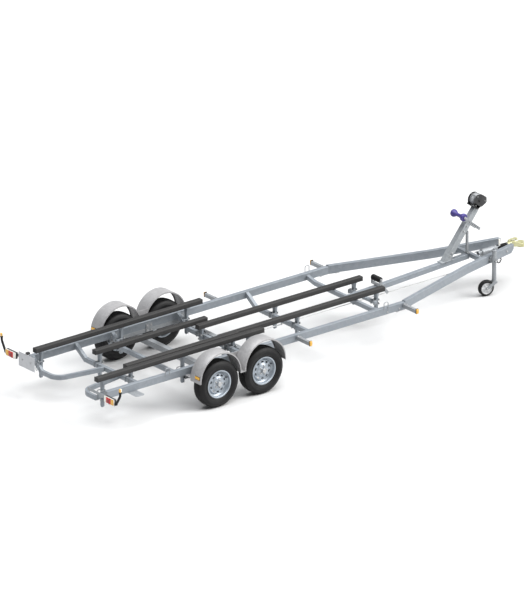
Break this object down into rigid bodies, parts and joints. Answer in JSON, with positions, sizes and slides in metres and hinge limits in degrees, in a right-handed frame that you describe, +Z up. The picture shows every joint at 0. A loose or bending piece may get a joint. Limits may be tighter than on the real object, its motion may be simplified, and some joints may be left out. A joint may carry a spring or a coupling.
{
  "type": "boat trailer",
  "caption": "Tandem-axle boat trailer: galvanised frame with V drawbar, bunks on posts, arched mudguards, winch stand with bow roller, jockey wheel and ball coupling.",
  "frame": {"origin": "middle of the bounding box at ground level", "axes": "+X forward to the coupling, +Y to the trailer's left, +Z up"},
  "size_m": [7.88, 2.54, 1.359],
  "materials": {
    "galvanised": "hot-dip galvanised",
    "galvanised_bright": "bright zinc",
    "guard_sheet": "pressed galvanised sheet",
    "bunk_black": "ribbed matt covering",
    "rim_silver": "silver paint",
    "tyre_black": "rubber",
    "cast_dark": "dark casting",
    "lamp_red": "clear red lens",
    "lamp_amber": "amber lens",
    "plate_grey": "blank plate",
    "winch_black": "black paint",
    "reel_grey": "wound webbing",
    "roller_blue": "moulded polyurethane",
    "roller_black": "moulded rubber",
    "zinc_yellow": "yellow passivated zinc"
  },
  "bodies": {
    "frame": {"side_rails": "galvanised", "drawbar_beams": "galvanised", "knee_brackets": "galvanised_bright", "rear_loops": "galvanised", "cross_members": "galvanised", "centre_beam": "galvanised", "axle_subframes": "galvanised_bright", "axle_tubes": "galvanised_bright", "swing_arms": "cast_dark", "mudguard_left": "guard_sheet", "mudguard_right": "guard_sheet", "bunks_outer": "bunk_black", "bunks_inner": "bunk_black", "bunk_posts": "galvanised", "tail_lights": "lamp_red", "number_plate": "plate_grey", "lamp_brackets": "galvanised_bright", "marker_lamps": "lamp_amber", "step_plates": "galvanised_bright", "winch_post_lower": "galvanised", "winch_post_upper": "galvanised", "winch_strut": "galvanised_bright", "winch_frame": "winch_black", "bow_roller_arm": "galvanised_bright", "keel_roller_bracket": "galvanised_bright", "jockey_clamp": "galvanised_bright", "overrun_unit": "galvanised_bright", "coupling_head": "zinc_yellow", "coupling_handle": "zinc_yellow", "brake_rod": "galvanised_bright", "strap_loop": "galvanised_bright"},
    "wheel_front_left": {"rim_front_left": "rim_silver", "tyre_front_left": "tyre_black"},
    "wheel_front_right": {"rim_front_right": "rim_silver", "tyre_front_right": "tyre_black"},
    "wheel_rear_left": {"rim_rear_left": "rim_silver", "tyre_rear_left": "tyre_black"},
    "wheel_rear_right": {"rim_rear_right": "rim_silver", "tyre_rear_right": "tyre_black"},
    "winch_reel": {"winch_drum": "reel_grey"},
    "bow_roller": {"bow_roller": "roller_blue"},
    "keel_roller": {"keel_roller": "roller_black"},
    "jockey_leg": {"jockey_tube": "galvanised_bright"},
    "jockey_castor": {"jockey_fork": "galvanised_bright"},
    "jockey_roller": {"jockey_wheel": "roller_black"}
  },
  "joints": [
    {"name": "front_left_wheel_spin", "type": "hinge", "parent": "frame", "child": "wheel_front_left", "pos_m": [-1.405, 1.055, 0.325], "axis": [0, 1, 0], "continuous": true},
    {"name": "front_right_wheel_spin", "type": "hinge", "parent": "frame", "child": "wheel_front_right", "pos_m": [-1.405, -1.055, 0.325], "axis": [0, 1, 0], "continuous": true},
    {"name": "rear_left_wheel_spin", "type": "hinge", "parent": "frame", "child": "wheel_rear_left", "pos_m": [-2.155, 1.055, 0.325], "axis": [0, 1, 0], "continuous": true},
    {"name": "rear_right_wheel_spin", "type": "hinge", "parent": "frame", "child": "wheel_rear_right", "pos_m": [-2.155, -1.055, 0.325], "axis": [0, 1, 0], "continuous": true},
    {"name": "winch_drum_spin", "type": "hinge", "parent": "frame", "child": "winch_reel", "pos_m": [3.112, 0, 1.262], "axis": [0, 1, 0], "continuous": true},
    {"name": "bow_roller_spin", "type": "hinge", "parent": "frame", "child": "bow_roller", "pos_m": [2.81, 0, 1.117], "axis": [0, 1, 0], "continuous": true},
    {"name": "keel_roller_spin", "type": "hinge", "parent": "frame", "child": "keel_roller", "pos_m": [1.41, 0, 0.566], "axis": [0, 1, 0], "continuous": true},
    {"name": "jockey_slide", "type": "slide", "parent": "frame", "child": "jockey_leg", "axis": [0, 0, 1], "range_m": [0, 0.2]},
    {"name": "jockey_swivel", "type": "hinge", "parent": "jockey_leg", "child": "jockey_castor", "pos_m": [3.16, -0.31896, 0.21], "axis": [0, 0, 1], "continuous": true},
    {"name": "jockey_wheel_spin", "type": "hinge", "parent": "jockey_castor", "child": "jockey_roller", "pos_m": [3.04602, -0.28842, 0.11], "axis": [0.2588, 0.9659, 0], "continuous": true}
  ]
}
